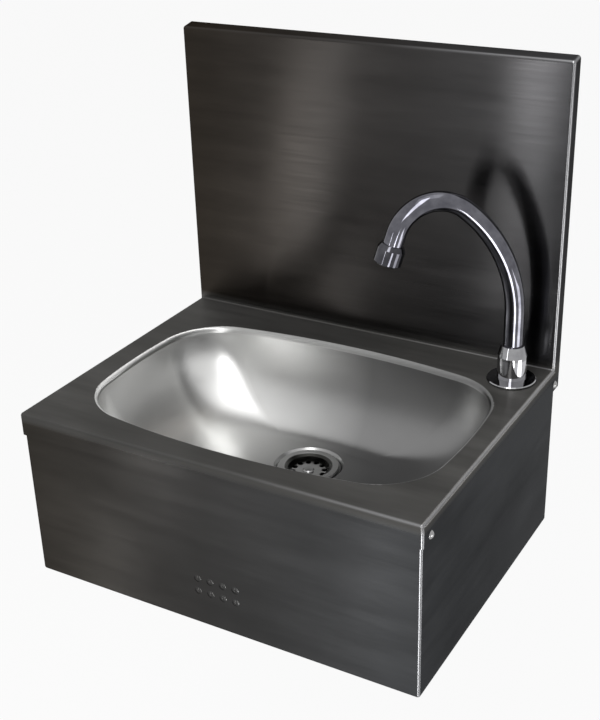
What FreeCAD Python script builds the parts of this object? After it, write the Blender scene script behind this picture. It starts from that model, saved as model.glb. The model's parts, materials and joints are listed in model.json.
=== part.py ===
"""Wall-hung hand wash sink worked by the knee.

Frame: +Z up, +X to the right of someone who faces the sink, +Y towards the wall.
The origin lies on the wall plane, in the middle of the four wall fixing holes.
Every sketch is drawn from the top of the deck, which stands deck_level above the origin.
"""
import FreeCAD, Part
import math
import operator
import os
import Sketcher

Vector = FreeCAD.Vector
TOLERANCE = 1e-3

# ---------------------------------------------------------------- driving dimensions
DIMENSIONS = {
    # folded sheet: deck, lips and splashback
    "sink_width": 400,
    "deck_depth": 308,
    "deck_level": 60,
    "sheet": 1.2,
    "lip_height": 22,
    "bend_radius": 3,
    "crease_radius": 1.5,
    "splash_height": 290,
    "splash_depth": 13.5,
    "splash_rise": 2.6,
    # pressed bowl; the lands are the deck left round its mouth
    "bowl_shift": 3,
    "bowl_side_land": 25.5,
    "bowl_front_land": 26,
    "bowl_back_land": 40.5,
    "bowl_corner": 61,
    "bowl_long_crown": 770,
    "bowl_short_crown": 520,
    "bowl_floor_level": 89,
    # how far the flat of the floor lies inside the mouth, and its rounder outline
    "floor_side": 92,
    "floor_front": 72,
    "floor_back": 50,
    "floor_roundness": 0.87,
    "floor_long_crown": 380,
    "floor_short_crown": 300,
    "rim_radius": 4,
    "rim_depth": 6,
    "seat_radius": 31,
    "seat_slope": 4,
    "seat_depth": 3,
    # waste fitting
    "waste_from_rim": 86,
    "waste_hole_radius": 21.5,
    "waste_thread_radius": 21,
    "waste_bore_radius": 18,
    "waste_flange_radius": 30,
    "waste_flange_thickness": 2,
    "waste_mouth_radius": 23.5,
    "waste_throat_wall": 0.8,
    "waste_ledge_depth": 6,
    "waste_ledge_width": 2,
    "waste_tail_level": 160,
    "waste_relief_drop": 2.3,
    "waste_relief_width": 3,
    "waste_relief_depth": 1,
    "grid_thickness": 1.5,
    "grid_hole_radius": 2.8,
    "grid_ring_radius": 15.2,
    "grid_hole_count": 12,
    "bridge_drop": 10,
    "bridge_height": 6,
    "bridge_width": 9,
    "waste_screw_radius": 3,
    "waste_screw_head_radius": 5.5,
    "seal_thickness": 1,
    "under_seal_thickness": 3,
    "waste_washer_thickness": 1.5,
    "waste_nut_height": 9,
    "waste_nut_flats": 54,
    # frame plate against the wall
    "plate_sheet": 2,
    "plate_side_inset": 8,
    "plate_bottom": 150,
    "plate_head_inset": 30,
    "plate_head_rise": 45,
    "plate_shoulder": 30,
    "plate_flange_depth": 50,
    "plate_flange_foot": 20,
    "plate_flange_slope": 112,
    "plate_notch": 24,
    "fixing_span": 280,
    "fixing_rise": 70,
    "fixing_radius": 4.5,
    "fixing_slot_length": 16,
    "window_offset": 85,
    "window_width": 46,
    "window_height": 70,
    "window_level": 100,
    # bracket that carries the valve
    "bracket_width": 90,
    "bracket_front_gap": 19.1,
    "bracket_level": 152,
    "bracket_front_rise": 48,
    "bracket_rear_rise": 42,
    "bracket_hem": 10,
    "bracket_hem_inset": 10,
    "bracket_corner": 6,
    "bracket_waste_hole": 37.5,
    "bolt_radius": 3,
    "bolt_play": 0.2,
    "bolt_span": 56,
    "bolt_level": 122,
    "bolt_length": 12,
    "bolt_point": 1,
    "bolt_flats": 10,
    "bolt_nut_height": 5,
    # knee cover, one sheet folded round the front and both sides
    "cover_sheet": 1.2,
    "cover_gap": 0.5,
    "cover_top": 6,
    "cover_bottom": 170.5,
    "cover_rear_gap": 8,
    "cover_return": 14,
    "cover_travel": 5,
    "pip_radius": 3.6,
    "pip_height": 1.3,
    "pip_pitch": 13,
    "pip_columns": 4,
    "pip_rows": 2,
    "channel_length": 280,
    "channel_depth": 12,
    "channel_web": 36,
    "channel_foot": 12,
    "pad_radius": 12,
    "pad_thickness": 4,
    # screws that the cover slides on
    "guide_front_inset": 14.5,
    "guide_rear_setback": 10.5,
    "guide_drop": 16,
    "screw_radius": 2,
    "screw_play": 0.15,
    "screw_head_radius": 3.7,
    "screw_head_height": 2.2,
    "bush_radius": 3.5,
    "slot_play": 0.3,
    "guide_washer_radius": 5.5,
    "guide_washer_thickness": 1,
    "guide_nut_flats": 7,
    "guide_nut_height": 3.2,
    # self-closing valve
    "valve_level": 128,
    "valve_radius": 18,
    "valve_length": 64,
    "valve_collar_radius": 21,
    "valve_collar_thickness": 4,
    "valve_nose_radius": 13,
    "valve_nose_length": 9,
    "valve_nose_play": 0.3,
    "valve_guide_radius": 9.05,
    "valve_guide_length": 17,
    "valve_chamber_radius": 12.5,
    "valve_wall": 6,
    "valve_edge": 1.5,
    "ring_nut_flats": 32,
    "ring_nut_height": 6,
    "plunger_radius": 9,
    "plunger_collar_radius": 11.8,
    "plunger_collar_thickness": 3,
    "plunger_stem_radius": 4,
    "plunger_stem_length": 30,
    "rest_gap": 0.3,
    "spring_wire_radius": 0.7,
    "spring_radius": 8,
    "spring_turns": 9,
    "port_depth": 40,
    "port_radius": 10,
    "port_bore_radius": 5,
    "port_reach": 38,
    # mixing block and inlets
    "thread_play": 0.05,
    "union_flats": 24,
    "union_length": 18,
    "union_overlap": 10,
    "mixing_radius": 14,
    "mixing_length": 64,
    "mixing_neck": 8,
    "mixing_bore_radius": 6,
    "inlet_first": 62,
    "inlet_pitch": 33,
    "inlet_drop": 20,
    "check_flats": 24,
    "check_hex_height": 9,
    "check_thread_radius": 10.48,
    "check_thread_length": 11,
    "check_bore_radius": 6.5,
    "spindle_radius": 6,
    "spindle_length": 12,
    "spindle_slot_width": 1.6,
    "spindle_slot_depth": 2,
    # bent pipe from the valve to the tap, held by compression nuts
    "pipe_radius": 6,
    "pipe_wall": 1,
    "pipe_bend_front": 60,
    "pipe_bend_rear": 45,
    "pipe_nut_flats": 24,
    "pipe_nut_length": 16,
    "pipe_nut_overlap": 10,
    "olive_radius": 8.5,
    "olive_length": 3,
    # tap
    "tap_side_inset": 30,
    "tap_setback": 48,
    "tap_hole_radius": 11,
    "tap_gasket_thickness": 1,
    "tap_flange_radius": 23,
    "tap_flange_thickness": 2.6,
    "tap_flange_edge": 0.8,
    "tap_body_radius": 13.5,
    "tap_body_top": 23,
    "tap_floor": 5,
    "tap_shank_radius": 10.2,
    "tap_shank_bore": 5,
    "tap_shank_length": 50,
    "tap_washer_radius": 17,
    "tap_washer_thickness": 2,
    "tap_nut_flats": 30,
    "tap_nut_height": 7,
    "swivel_bore_radius": 11.05,
    "swivel_spigot_radius": 12.3,
    "swivel_spigot_depth": 5,
    "swivel_nut_rim": 2.5,
    "swivel_nut_height": 13,
    "swivel_nut_top_radius": 10.8,
    "swivel_play": 0.1,
    # spout
    "spout_heading": 216,
    "spout_radius": 9,
    "spout_wall": 1.2,
    "spout_rise": 66,
    "spout_first_radius": 135,
    "spout_first_turn": 50,
    "spout_second_radius": 38,
    "spout_second_turn": 113,
    "spout_tail": 15.5,
    "foot_radius": 11,
    "foot_height": 17,
    "ring_wire_radius": 0.75,
    "ring_groove_half": 0.9,
    "ring_inset": 4,
    "aerator_radius": 12.6,
    "aerator_length": 18,
    "aerator_shoulder": 4,
    "aerator_overlap": 5,
    "aerator_lip": 1.4,
    "insert_play": 0.1,
    "insert_thickness": 4,
    "insert_ring_radius": 6.5,
    "insert_hole_radius": 1.5,
    "insert_hole_count": 8,
    "aerator_seal_thickness": 1.5,
}

doc = FreeCAD.newDocument("HandWashSink")
sheet = doc.addObject("Spreadsheet::Sheet", "Sizes")


class Size:
    """A number together with the sheet formula that gives it."""

    def __init__(self, number, formula):
        self.number = float(number)
        self.formula = formula

    def join(self, other, sign, action, swapped=False):
        other = as_size(other)
        first, second = (other, self) if swapped else (self, other)
        number = action(first.number, second.number)
        return Size(number, f"({first.formula} {sign} {second.formula})")

    def __add__(self, other):
        return self.join(other, "+", operator.add)

    def __radd__(self, other):
        return self.join(other, "+", operator.add, swapped=True)

    def __sub__(self, other):
        return self.join(other, "-", operator.sub)

    def __rsub__(self, other):
        return self.join(other, "-", operator.sub, swapped=True)

    def __mul__(self, other):
        return self.join(other, "*", operator.mul)

    def __rmul__(self, other):
        return self.join(other, "*", operator.mul, swapped=True)

    def __truediv__(self, other):
        return self.join(other, "/", operator.truediv)

    def __neg__(self):
        return Size(-self.number, f"(-1 * {self.formula})")

    def __float__(self):
        return self.number


def as_size(value):
    if isinstance(value, Size):
        return value
    return Size(value, repr(float(value)))


class Sheet:
    """The driving dimensions by name, each bound to its own cell."""

    def __init__(self, dimensions):
        for row, (name, value) in enumerate(dimensions.items(), start=1):
            sheet.set(f"A{row}", name)
            sheet.set(f"B{row}", str(value))
            sheet.setAlias(f"B{row}", name)
            setattr(self, name, Size(value, f"Sizes.{name}"))


d = Sheet(DIMENSIONS)
doc.recompute()

# ---------------------------------------------------------------- drawing helpers


def bind(item, name, value):
    """Set a property from a plain number, or tie it to the sheet."""
    value = as_size(value)
    if "Sizes." in value.formula or "." in name:
        item.setExpression(name, value.formula)
    else:
        setattr(item, name, value.number)


TURNS = {
    "upright": FreeCAD.Rotation(),
    "forward": FreeCAD.Rotation(Vector(1, 0, 0), 90),
    "right": FreeCAD.Rotation(Vector(0, 1, 0), 90),
    "left": FreeCAD.Rotation(Vector(1, 0, -1), 180),
}


def new_body(label, across=0, along=0, up=0, turn="upright"):
    """A body whose sketches start from a point given from the deck's top.

    turn says which way the body's own Z axis points: up, forward (away from the wall), right or left.
    """
    body = doc.addObject("PartDesign::Body", label)
    body.Label = label
    body.AllowCompound = True
    body.Placement = FreeCAD.Placement(Vector(0, 0, 0), TURNS[turn])
    bind(body, "Placement.Base.x", across)
    bind(body, "Placement.Base.y", along)
    bind(body, "Placement.Base.z", d.deck_level + up)
    return body


def new_sketch(body, plane, offset=0, across=0, up=0):
    """A sketch on one of the body's own origin planes, moved along its normal and within it."""
    item = body.newObject("Sketcher::SketchObject", "Sketch")
    support = next(part for part in body.Origin.OriginFeatures if part.Role == plane)
    item.AttachmentSupport = [(support, "")]
    item.MapMode = "FlatFace"
    bind(item, "AttachmentOffset.Base.x", across)
    bind(item, "AttachmentOffset.Base.y", up)
    bind(item, "AttachmentOffset.Base.z", offset)
    return item


def hold(item, kind, *place_and_value):
    """Add a dimension to a sketch and tie it to the sheet."""
    *place, value = place_and_value
    value = as_size(value)
    index = item.addConstraint(Sketcher.Constraint(kind, *place, value.number))
    if "Sizes." in value.formula:
        item.setExpression(f"Constraints[{index}]", value.formula)


def draw_polygon(item, points):
    """A closed outline through the points, each held by its two coordinates."""
    corners = [Vector(float(across), float(up), 0) for across, up in points]
    count = len(corners)
    first = item.GeometryCount
    for index in range(count):
        line = Part.LineSegment(corners[index], corners[(index + 1) % count])
        item.addGeometry(line, False)
    for index in range(count):
        follower = first + (index + 1) % count
        item.addConstraint(Sketcher.Constraint("Coincident", first + index, 2, follower, 1))
    for index, (across, up) in enumerate(points):
        hold(item, "DistanceX", first + index, 1, across)
        hold(item, "DistanceY", first + index, 1, up)
    return item


def draw_circle(item, across, up, radius):
    centre = Vector(float(across), float(up), 0)
    index = item.addGeometry(Part.Circle(centre, Vector(0, 0, 1), float(radius)), False)
    hold(item, "DistanceX", index, 3, across)
    hold(item, "DistanceY", index, 3, up)
    hold(item, "Radius", index, radius)
    return item


def draw_rectangle(item, left, right, low, high):
    return draw_polygon(item, [(left, low), (right, low), (right, high), (left, high)])


def draw_hexagon(item, flats):
    """A regular hexagon about the sketch's origin, flats on the left and right."""
    apothem = flats / 2
    half_side = flats * 0.5 * math.tan(math.pi / 6)
    corners = [(apothem, -half_side), (apothem, half_side), (0, 2 * half_side)]
    corners += [(-apothem, half_side), (-apothem, -half_side), (0, -2 * half_side)]
    return draw_polygon(item, corners)


def draw_slot(item, across, up, radius, length):
    """A level slot with round ends, centred on a point."""
    reach = length / 2 - radius
    left, right = float(across - reach), float(across + reach)
    low, high = float(up - radius), float(up + radius)
    normal = Vector(0, 0, 1)
    quarter = math.pi / 2
    right_round = Part.Circle(Vector(right, float(up), 0), normal, float(radius))
    left_round = Part.Circle(Vector(left, float(up), 0), normal, float(radius))
    right_end = item.addGeometry(Part.ArcOfCircle(right_round, -quarter, quarter), False)
    top = item.addGeometry(Part.LineSegment(Vector(right, high, 0), Vector(left, high, 0)), False)
    left_end = item.addGeometry(Part.ArcOfCircle(left_round, quarter, 3 * quarter), False)
    base = item.addGeometry(Part.LineSegment(Vector(left, low, 0), Vector(right, low, 0)), False)
    for first, first_end, second, second_end in (
        (right_end, 2, top, 1),
        (top, 2, left_end, 1),
        (left_end, 2, base, 1),
        (base, 2, right_end, 1),
    ):
        item.addConstraint(Sketcher.Constraint("Tangent", first, first_end, second, second_end))
    hold(item, "Radius", right_end, radius)
    hold(item, "DistanceX", right_end, 3, across + reach)
    hold(item, "DistanceY", right_end, 3, up)
    hold(item, "DistanceX", left_end, 3, across - reach)
    hold(item, "DistanceY", left_end, 3, up)
    return item


def draw_bowl_outline(item, share=0, grow=0):
    """The bowl's outline: four slightly bowed sides joined by tangent corners.

    share runs from 0 at the mouth to 1 at the flat of the floor. grow moves the whole outline outwards.
    """
    half_length = bowl_half_length - d.floor_side * share
    half_breadth = bowl_half_breadth - (d.floor_front + d.floor_back) * (0.5 * share)
    floor_corner = (bowl_half_breadth - (d.floor_front + d.floor_back) / 2) * d.floor_roundness
    middle_y = bowl_y + (d.floor_front - d.floor_back) * (0.5 * share)
    draw_bowed_rectangle(
        item,
        middle_y,
        half_length + grow,
        half_breadth + grow,
        d.bowl_corner * (1 - share) + floor_corner * share + grow,
        d.bowl_long_crown * (1 - share) + d.floor_long_crown * share + grow,
        d.bowl_short_crown * (1 - share) + d.floor_short_crown * share + grow,
    )
    return item


def draw_bowed_rectangle(item, middle_y, half_length, half_breadth, corner, long_crown, short_crown):
    """Level outline on the bowl's centre line; the crowns are the radii of its bowed sides."""
    middle_x = d.bowl_shift
    inset_y = long_crown - half_breadth
    inset_x = short_crown - half_length
    # where the corner circle touches both bowed sides from the inside
    reach_long = float(long_crown - corner)
    reach_short = float(short_crown - corner)
    corner_x, corner_y = meeting_point(float(inset_x), float(inset_y), reach_short, reach_long)
    long_turn = math.atan2(corner_x, corner_y + float(inset_y))
    short_turn = math.atan2(corner_y, corner_x + float(inset_x))
    x0, y0 = float(middle_x), float(middle_y)
    quarter = math.pi / 2
    right = (x0 - float(inset_x), y0, float(short_crown), -short_turn, short_turn)
    top = (x0, y0 - float(inset_y), float(long_crown), quarter - long_turn, quarter + long_turn)
    left = (x0 + float(inset_x), y0, float(short_crown), math.pi - short_turn, math.pi + short_turn)
    base = (x0, y0 + float(inset_y), float(long_crown), 3 * quarter - long_turn, 3 * quarter + long_turn)
    corners = [
        (x0 + corner_x, y0 + corner_y, float(corner), short_turn, quarter - long_turn),
        (x0 - corner_x, y0 + corner_y, float(corner), quarter + long_turn, math.pi - short_turn),
        (x0 - corner_x, y0 - corner_y, float(corner), math.pi + short_turn, 3 * quarter - long_turn),
        (x0 + corner_x, y0 - corner_y, float(corner), 3 * quarter + long_turn, 4 * quarter - short_turn),
    ]
    loop = [right, corners[0], top, corners[1], left, corners[2], base, corners[3]]
    indices = []
    for across, up, radius, start, end in loop:
        circle = Part.Circle(Vector(across, up, 0), Vector(0, 0, 1), radius)
        indices.append(item.addGeometry(Part.ArcOfCircle(circle, start, end), False))
    for place, index in enumerate(indices):
        follower = indices[(place + 1) % len(indices)]
        item.addConstraint(Sketcher.Constraint("Tangent", index, 2, follower, 1))
    for place, radius in ((0, short_crown), (2, long_crown), (4, short_crown), (6, long_crown)):
        hold(item, "Radius", indices[place], radius)
    for place in (1, 3, 5, 7):
        hold(item, "Radius", indices[place], corner)
    centres = (
        (0, middle_x - inset_x, middle_y),
        (2, middle_x, middle_y - inset_y),
        (4, middle_x + inset_x, middle_y),
        (6, middle_x, middle_y + inset_y),
    )
    for place, across, up in centres:
        hold(item, "DistanceX", indices[place], 3, across)
        hold(item, "DistanceY", indices[place], 3, up)


def meeting_point(inset_x, inset_y, reach_short, reach_long):
    """The corner centre: reach_short from (-inset_x, 0) and reach_long from (0, -inset_y)."""
    span = math.hypot(inset_x, inset_y)
    along = (reach_short ** 2 - reach_long ** 2 + span ** 2) / (2 * span)
    off = math.sqrt(reach_short ** 2 - along ** 2)
    unit_x, unit_y = inset_x / span, -inset_y / span
    across = -inset_x + along * unit_x - off * unit_y
    up = along * unit_y + off * unit_x
    return across, up


def finish(body, feature):
    body.Tip = feature
    doc.recompute()
    return feature


def pad(body, profile, length, midplane=False):
    feature = body.newObject("PartDesign::Pad", "Pad")
    feature.Profile = profile
    feature.Midplane = midplane
    bind(feature, "Length", length)
    return finish(body, feature)


def pocket(body, profile, length):
    """Cut both ways from the sketch, and make sure that something was cut."""
    before = body.Shape.Volume
    feature = body.newObject("PartDesign::Pocket", "Pocket")
    feature.Profile = profile
    feature.Midplane = True
    bind(feature, "Length", length)
    finish(body, feature)
    if feature.Shape.Volume > before - TOLERANCE:
        raise RuntimeError(f"{body.Label}: {feature.Name} cuts nothing")
    return feature


def revolve(body, profile, axis="V_Axis"):
    feature = body.newObject("PartDesign::Revolution", "Revolution")
    feature.Profile = profile
    feature.ReferenceAxis = (profile, [axis])
    feature.Angle = 360
    return finish(body, feature)


def groove(body, profile, axis="V_Axis"):
    before = body.Shape.Volume
    feature = body.newObject("PartDesign::Groove", "Groove")
    feature.Profile = profile
    feature.ReferenceAxis = (profile, [axis])
    feature.Angle = 360
    finish(body, feature)
    if feature.Shape.Volume > before - TOLERANCE:
        raise RuntimeError(f"{body.Label}: {feature.Name} cuts nothing")
    return feature


def shell(body, base, faces, wall):
    feature = body.newObject("PartDesign::Thickness", "Shell")
    feature.Base = (base, faces)
    feature.Reversed = True
    feature.Join = 1
    bind(feature, "Value", wall)
    return finish(body, feature)


def fillet(body, base, edges, radius):
    if not edges:
        raise RuntimeError(f"{body.Label}: no edge to round")
    feature = body.newObject("PartDesign::Fillet", "Fillet")
    feature.Base = (base, edges)
    bind(feature, "Radius", radius)
    return finish(body, feature)


def own_plane(body, role):
    return next(part for part in body.Origin.OriginFeatures if part.Role == role)


def mirror(body, features):
    """Repeat features on the other side of the body's own YZ plane."""
    feature = body.newObject("PartDesign::Mirrored", "Mirrored")
    feature.Originals = features
    feature.MirrorPlane = (own_plane(body, "YZ_Plane"), [""])
    return finish(body, feature)


def row_of(body, axis, pitch, count):
    """A step of a pattern along one of the body's own axes."""
    step = body.newObject("PartDesign::LinearPattern", "Row")
    step.Direction = (own_plane(body, axis), [""])
    bind(step, "Length", pitch * (count - 1))
    step.Occurrences = int(float(count))
    return step


def row(body, features, axis, pitch, count):
    """Repeat features along one of the body's own axes."""
    feature = row_of(body, axis, pitch, count)
    feature.Originals = features
    return finish(body, feature)


def grid(body, features, *steps):
    """Repeat features by several steps, each of which repeats all that came before it."""
    feature = body.newObject("PartDesign::MultiTransform", "Grid")
    feature.Originals = features
    feature.Transformations = list(steps)
    return finish(body, feature)


def mirror_step(body):
    step = body.newObject("PartDesign::Mirrored", "Mirror")
    step.MirrorPlane = (own_plane(body, "YZ_Plane"), [""])
    return step


def near(first, second):
    return abs(float(first) - float(second)) < TOLERANCE


def lies_at(shape, axis, value):
    """True where an edge or face lies wholly in the plane axis = value."""
    box = shape.BoundBox
    low, high = getattr(box, axis + "Min"), getattr(box, axis + "Max")
    return near(low, value) and near(high, value)


def edge_names(feature, test):
    return [f"Edge{index}" for index, edge in enumerate(feature.Shape.Edges, start=1) if test(edge)]


def face_names(feature, test):
    return [f"Face{index}" for index, face in enumerate(feature.Shape.Faces, start=1) if test(face)]


def turned(label, points, across=0, along=0, up=0, turn="upright"):
    """A body of revolution about its own Z axis through points given as (radius, height)."""
    body = new_body(label, across, along, up, turn)
    revolve(body, draw_polygon(new_sketch(body, "XZ_Plane"), points))
    return body


def nut(label, flats, bore, low, high, across=0, along=0, up=0, turn="upright"):
    """A hexagon nut between two heights on its own Z axis, its corners eased at both ends."""
    body = new_body(label, across, along, up, turn)
    add_nut(body, flats, bore, low, high)
    return body


def add_nut(body, flats, bore, low, high):
    features = [pad(body, draw_hexagon(new_sketch(body, "XY_Plane", low), flats), high - low)]
    corner = flats * (0.5 / math.cos(math.pi / 6))
    bevel = corner - flats / 2
    easing = new_sketch(body, "XZ_Plane")
    for end, inwards in ((low, 1), (high, -1)):
        draw_polygon(easing, [
            (flats / 2, end - inwards * bevel * 0.1),
            (corner + bevel, end - inwards * bevel * 0.1),
            (corner + bevel, end + inwards * bevel * 1.2),
        ])
    features.append(groove(body, easing))
    middle = (low + high) / 2
    hole = draw_circle(new_sketch(body, "XY_Plane", middle), 0, 0, bore)
    features.append(pocket(body, hole, (high - low) * 1.2))
    return features


def ring(label, inner, outer, low, high, across=0, along=0, up=0, turn="upright"):
    """A plain round washer or seal between two heights on its own Z axis."""
    points = [(inner, low), (outer, low), (outer, high), (inner, high)]
    return turned(label, points, across, along, up, turn)


# ---------------------------------------------------------------- shared places
# turns in degrees along the quarter ellipse at which the bowl's outline is drawn
BOWL_TURNS = (0, 30, 50, 70, 90)
bowl_rear = -(d.splash_depth + d.bowl_back_land)
bowl_fore = d.bowl_front_land - d.deck_depth
bowl_y = (bowl_rear + bowl_fore) / 2
bowl_half_breadth = (bowl_rear - bowl_fore) / 2
bowl_half_length = d.sink_width / 2 - d.bowl_side_land
waste_x = d.bowl_shift
waste_y = bowl_rear - d.waste_from_rim
floor_level = -d.bowl_floor_level
seat_level = floor_level - d.seat_depth
valve_x = d.bowl_shift
valve_z = -d.valve_level
lip_inside = d.sink_width / 2 - d.sheet
cover_outside = lip_inside - d.cover_gap
cover_inside = cover_outside - d.cover_sheet
cover_front = -(d.deck_depth - d.sheet - d.cover_gap)
cover_back = cover_front + d.cover_sheet
channel_face = cover_back + d.channel_depth
pad_face = channel_face + d.pad_thickness
bracket_front = pad_face + d.bracket_front_gap
valve_face = bracket_front + d.plate_sheet
port_y = valve_face + d.port_depth
guide_y = d.guide_front_inset - d.deck_depth
tap_x = d.sink_width / 2 - d.tap_side_inset
tap_y = -d.tap_setback
foot_low = d.tap_floor + d.rest_gap


def deck_and_splashback():
    body = new_body("deck_and_splashback")
    side = draw_polygon(new_sketch(body, "YZ_Plane"), [
        (-d.deck_depth, -d.lip_height),
        (-d.deck_depth, 0),
        (-d.splash_depth, 0),
        (-d.splash_depth, d.splash_height),
        (0, d.splash_height + d.splash_rise),
        (0, -d.lip_height),
    ])
    block = pad(body, side, d.sink_width, midplane=True)

    def is_open(face):
        return lies_at(face, "Z", -d.lip_height) or lies_at(face, "Y", 0)

    folded = shell(body, block, face_names(block, is_open), d.sheet)

    def is_fold(edge):
        if lies_at(edge, "Z", -d.lip_height) or lies_at(edge, "Y", 0):
            return False
        return not is_crease(edge) and not is_inner_crease(edge)

    def is_crease(edge):
        return lies_at(edge, "Y", -d.splash_depth) and lies_at(edge, "Z", 0)

    def is_inner_crease(edge):
        return lies_at(edge, "Y", d.sheet - d.splash_depth) and lies_at(edge, "Z", -d.sheet)

    def is_outer(edge):
        middle = edge.CenterOfMass
        at_side = near(abs(middle.x), d.sink_width / 2)
        at_front = near(middle.y, -d.deck_depth)
        at_face = near(middle.y, -d.splash_depth)
        return at_side or at_front or at_face

    def is_inner(edge):
        middle = edge.CenterOfMass
        at_side = near(abs(middle.x), lip_inside)
        at_front = near(middle.y, d.sheet - d.deck_depth)
        at_face = near(middle.y, d.sheet - d.splash_depth)
        return is_fold(edge) and (at_side or at_front or at_face)

    # each bend on the inside of the sheet first, then on the outside
    inner = fillet(body, folded, edge_names(folded, is_inner), d.bend_radius - d.sheet)
    bends = fillet(body, inner, edge_names(inner, lambda e: is_fold(e) and is_outer(e)), d.bend_radius)
    crease = fillet(body, bends, edge_names(bends, is_inner_crease), d.crease_radius + d.sheet)
    fillet(body, crease, edge_names(crease, is_crease), d.crease_radius)

    # the deck is drawn down round the bowl, with a soft rolled rim
    collar = new_sketch(body, "XY_Plane", -d.rim_depth)
    draw_bowl_outline(collar, grow=d.sheet)
    pad(body, collar, d.rim_depth - d.sheet / 2)
    opening = new_sketch(body, "XY_Plane")
    draw_bowl_outline(opening)
    cut = pocket(body, opening, d.rim_depth * 4)

    def in_bowl_area(edge):
        box = edge.BoundBox
        side = float(d.sink_width - d.bowl_side_land) / 2
        fore = float(bowl_fore - d.bowl_front_land / 2)
        rear = float(bowl_rear + d.bowl_back_land / 2)
        return box.XMin > -side and box.XMax < side and box.YMin > fore and box.YMax < rear

    under = edge_names(cut, lambda e: lies_at(e, "Z", -d.sheet) and in_bowl_area(e))
    rolled = fillet(body, cut, under, d.rim_radius - d.sheet)
    fillet(body, rolled, edge_names(rolled, lambda e: lies_at(e, "Z", 0) and in_bowl_area(e)), d.rim_radius)

    tap_hole = draw_circle(new_sketch(body, "XY_Plane"), tap_x, tap_y, d.tap_hole_radius)
    pocket(body, tap_hole, d.sheet * 4)
    guides = new_sketch(body, "YZ_Plane")
    for place in (guide_y, -d.guide_rear_setback):
        draw_circle(guides, place, -d.guide_drop, d.screw_radius + d.screw_play)
    pocket(body, guides, d.sink_width * 1.1)
    return body


def bowl():
    """Pressed bowl under the deck's rolled rim, whose wall runs into the floor in a quarter of an ellipse.

    Its own origin is on the waste's axis.
    """
    body = new_body("bowl", waste_x, waste_y)
    under = floor_level - d.sheet
    for kind, wall in (("AdditiveLoft", d.sheet), ("SubtractiveLoft", d.sheet * 0)):
        sections = []
        for turn in BOWL_TURNS:
            across = math.cos(math.radians(turn))
            down = math.sin(math.radians(turn))
            level = -d.rim_depth - (d.bowl_floor_level - d.rim_depth) * down - wall * down
            section = new_sketch(body, "XY_Plane", level, -waste_x, -waste_y)
            sections.append(draw_bowl_outline(section, 1 - across, wall * across))
        loft = body.newObject(f"PartDesign::{kind}", "Loft")
        loft.Profile = sections[0]
        loft.Sections = sections[1:]
        finish(body, loft)
    # a flat seat for the waste is pressed into the floor
    revolve(body, draw_polygon(new_sketch(body, "XZ_Plane"), [
        (0, floor_level - d.sheet / 4),
        (d.seat_radius + d.seat_slope, floor_level - d.sheet / 4),
        (d.seat_radius + d.seat_slope, under),
        (d.seat_radius + d.sheet, under - d.seat_depth),
        (0, under - d.seat_depth),
    ]))
    groove(body, draw_polygon(new_sketch(body, "XZ_Plane"), [
        (0, floor_level + d.sheet),
        (d.seat_radius + d.seat_slope - d.sheet, floor_level + d.sheet),
        (d.seat_radius + d.seat_slope - d.sheet, floor_level),
        (d.seat_radius, seat_level),
        (0, seat_level),
    ]))
    drain = draw_circle(new_sketch(body, "XY_Plane", seat_level), 0, 0, d.waste_hole_radius)
    pocket(body, drain, d.sheet * 4)
    return body


def back_plate():
    """Frame plate against the wall, with side flanges that the deck is welded to."""
    body = new_body("back_plate")
    half = d.sink_width / 2 - d.plate_side_inset
    head = d.sink_width / 2 - d.plate_head_inset
    web = pad(body, draw_polygon(new_sketch(body, "XZ_Plane"), [
        (-half, -d.plate_bottom),
        (half, -d.plate_bottom),
        (half, -d.plate_shoulder),
        (head, -d.plate_shoulder),
        (head, d.plate_head_rise),
        (-head, d.plate_head_rise),
        (-head, -d.plate_shoulder),
        (-half, -d.plate_shoulder),
    ]), d.plate_sheet)
    flange = pad(body, draw_polygon(new_sketch(body, "YZ_Plane", half - d.plate_sheet), [
        (0, -d.plate_bottom),
        (-d.plate_flange_foot, -d.plate_bottom),
        (-d.plate_flange_depth, -d.plate_flange_slope),
        (-d.plate_flange_depth, -d.sheet),
        (-d.plate_notch, -d.sheet),
        (-d.plate_notch, -d.plate_shoulder),
        (0, -d.plate_shoulder),
    ]), d.plate_sheet)
    folded = mirror(body, [flange])

    def is_outer_bend(edge):
        return near(abs(edge.CenterOfMass.x), half) and lies_at(edge, "Y", 0)

    def is_inner_bend(edge):
        at_side = near(abs(edge.CenterOfMass.x), half - d.plate_sheet)
        return at_side and lies_at(edge, "Y", -d.plate_sheet) and edge.Length > float(d.plate_bottom) / 2

    inner = fillet(body, folded, edge_names(folded, is_inner_bend), d.bend_radius - d.sheet)
    outer_radius = d.bend_radius - d.sheet + d.plate_sheet
    fillet(body, inner, edge_names(inner, is_outer_bend), outer_radius)
    holes = new_sketch(body, "XZ_Plane")
    for side in (-1, 1):
        for level in (-1, 1):
            height = -d.deck_level + level * d.fixing_rise / 2
            draw_slot(holes, side * d.fixing_span / 2, height, d.fixing_radius, d.fixing_slot_length)
        left = side * d.window_offset - d.window_width / 2
        low = -d.window_level - d.window_height / 2
        draw_rectangle(holes, left, left + d.window_width, low, low + d.window_height)
    pocket(body, holes, d.plate_sheet * 4)
    return body


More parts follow.
